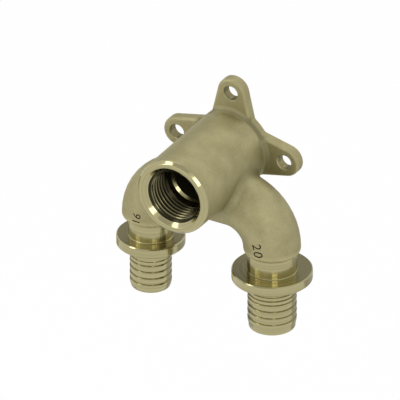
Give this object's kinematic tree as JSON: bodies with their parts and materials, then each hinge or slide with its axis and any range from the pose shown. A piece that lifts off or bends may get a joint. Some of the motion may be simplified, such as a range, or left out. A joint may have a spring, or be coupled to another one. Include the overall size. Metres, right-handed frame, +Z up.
{
  "type": "u-shaped wall plate",
  "caption": "One-piece cast U-shaped wall plate with a threaded tap socket, screw lugs and flanged, barbed pipe ends.",
  "frame": {"origin": "where the socket's axis meets the wall plane", "axes": "+Y into the wall, +Z up with the pipe ends pointing down, +X towards the larger pipe end"},
  "size_m": [0.077, 0.046, 0.0867],
  "materials": {
    "brass": "matte as-cast body, with a bright turned lip, flanges and nipples"
  },
  "bodies": {
    "root": {"wall_plate": "brass"}
  },
  "joints": []
}
